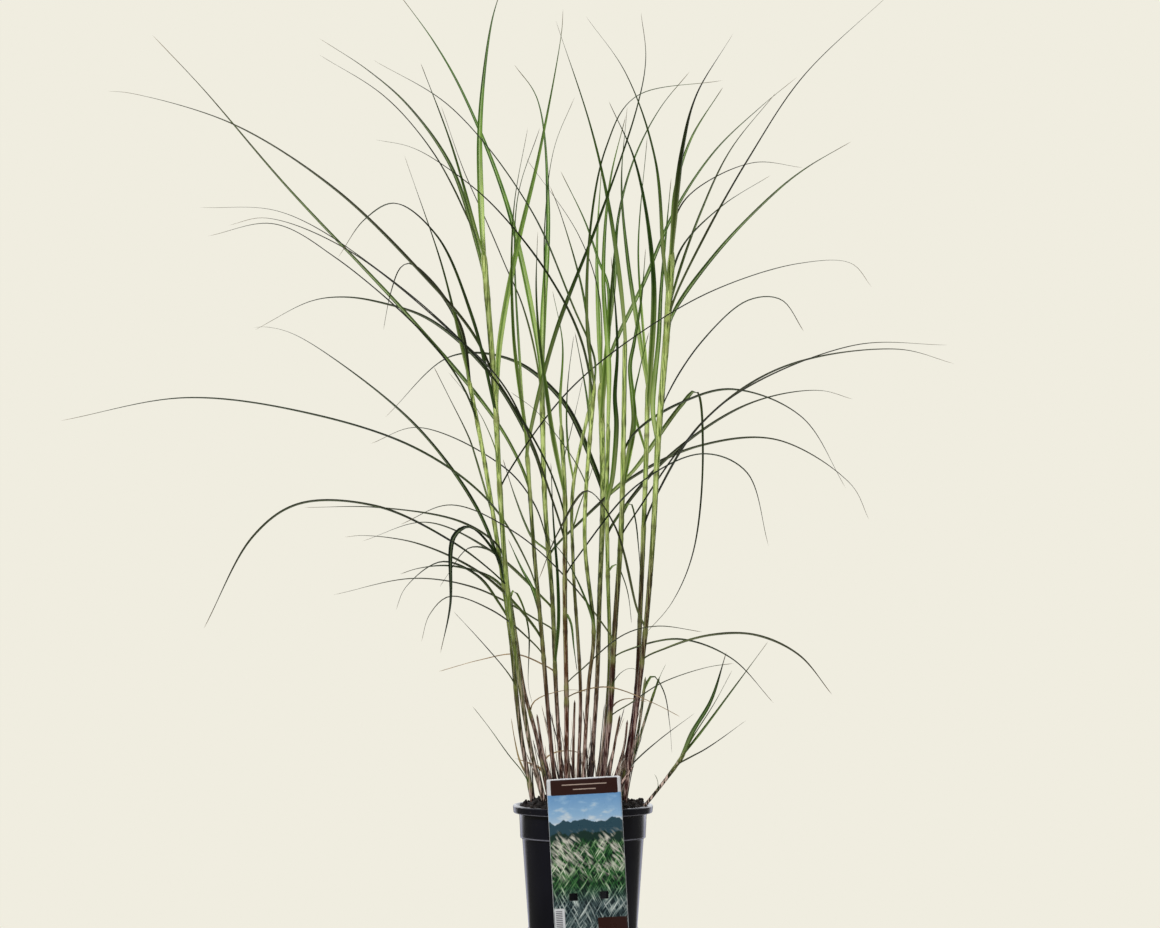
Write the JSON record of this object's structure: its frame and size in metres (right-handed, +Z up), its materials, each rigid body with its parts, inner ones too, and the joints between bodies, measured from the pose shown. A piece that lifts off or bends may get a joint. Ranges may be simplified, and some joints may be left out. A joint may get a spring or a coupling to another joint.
{
  "type": "potted ornamental grass",
  "caption": "Tall clump of arching maiden grass stems in a round black nursery pot with soil and a hanging plant label.",
  "frame": {"origin": "middle of the pot's foot, on the surface that the pot stands on", "axes": "+Z up, -Y towards the side with the label, +X to the right seen from there"},
  "size_m": [1.0574, 0.8076, 1.2093],
  "materials": {
    "pot_plastic": "gloss",
    "potting_soil": "matte",
    "label_plastic": "satin",
    "grass_leaf": "satin",
    "grass_culm": "satin"
  },
  "bodies": {
    "root": {"pot": "pot_plastic", "soil": "potting_soil", "label": "label_plastic", "leafy_stem_01": "grass_leaf", "leafy_stem_02": "grass_leaf", "leafy_stem_03": "grass_leaf", "leafy_stem_04": "grass_leaf", "leafy_stem_05": "grass_leaf", "leafy_stem_06": "grass_leaf", "leafy_stem_07": "grass_leaf", "leafy_stem_08": "grass_leaf", "leafy_stem_09": "grass_leaf", "leafy_stem_10": "grass_leaf", "leafy_stem_11": "grass_leaf", "leafy_stem_12": "grass_leaf", "leafy_stem_13": "grass_leaf", "leafy_stem_14": "grass_leaf", "leafy_stem_15": "grass_leaf", "leafy_stem_16": "grass_leaf", "stub_1": "grass_culm", "stub_2": "grass_culm", "stub_3": "grass_culm", "stub_4": "grass_culm", "stub_5": "grass_culm", "stub_6": "grass_culm"}
  },
  "joints": []
}
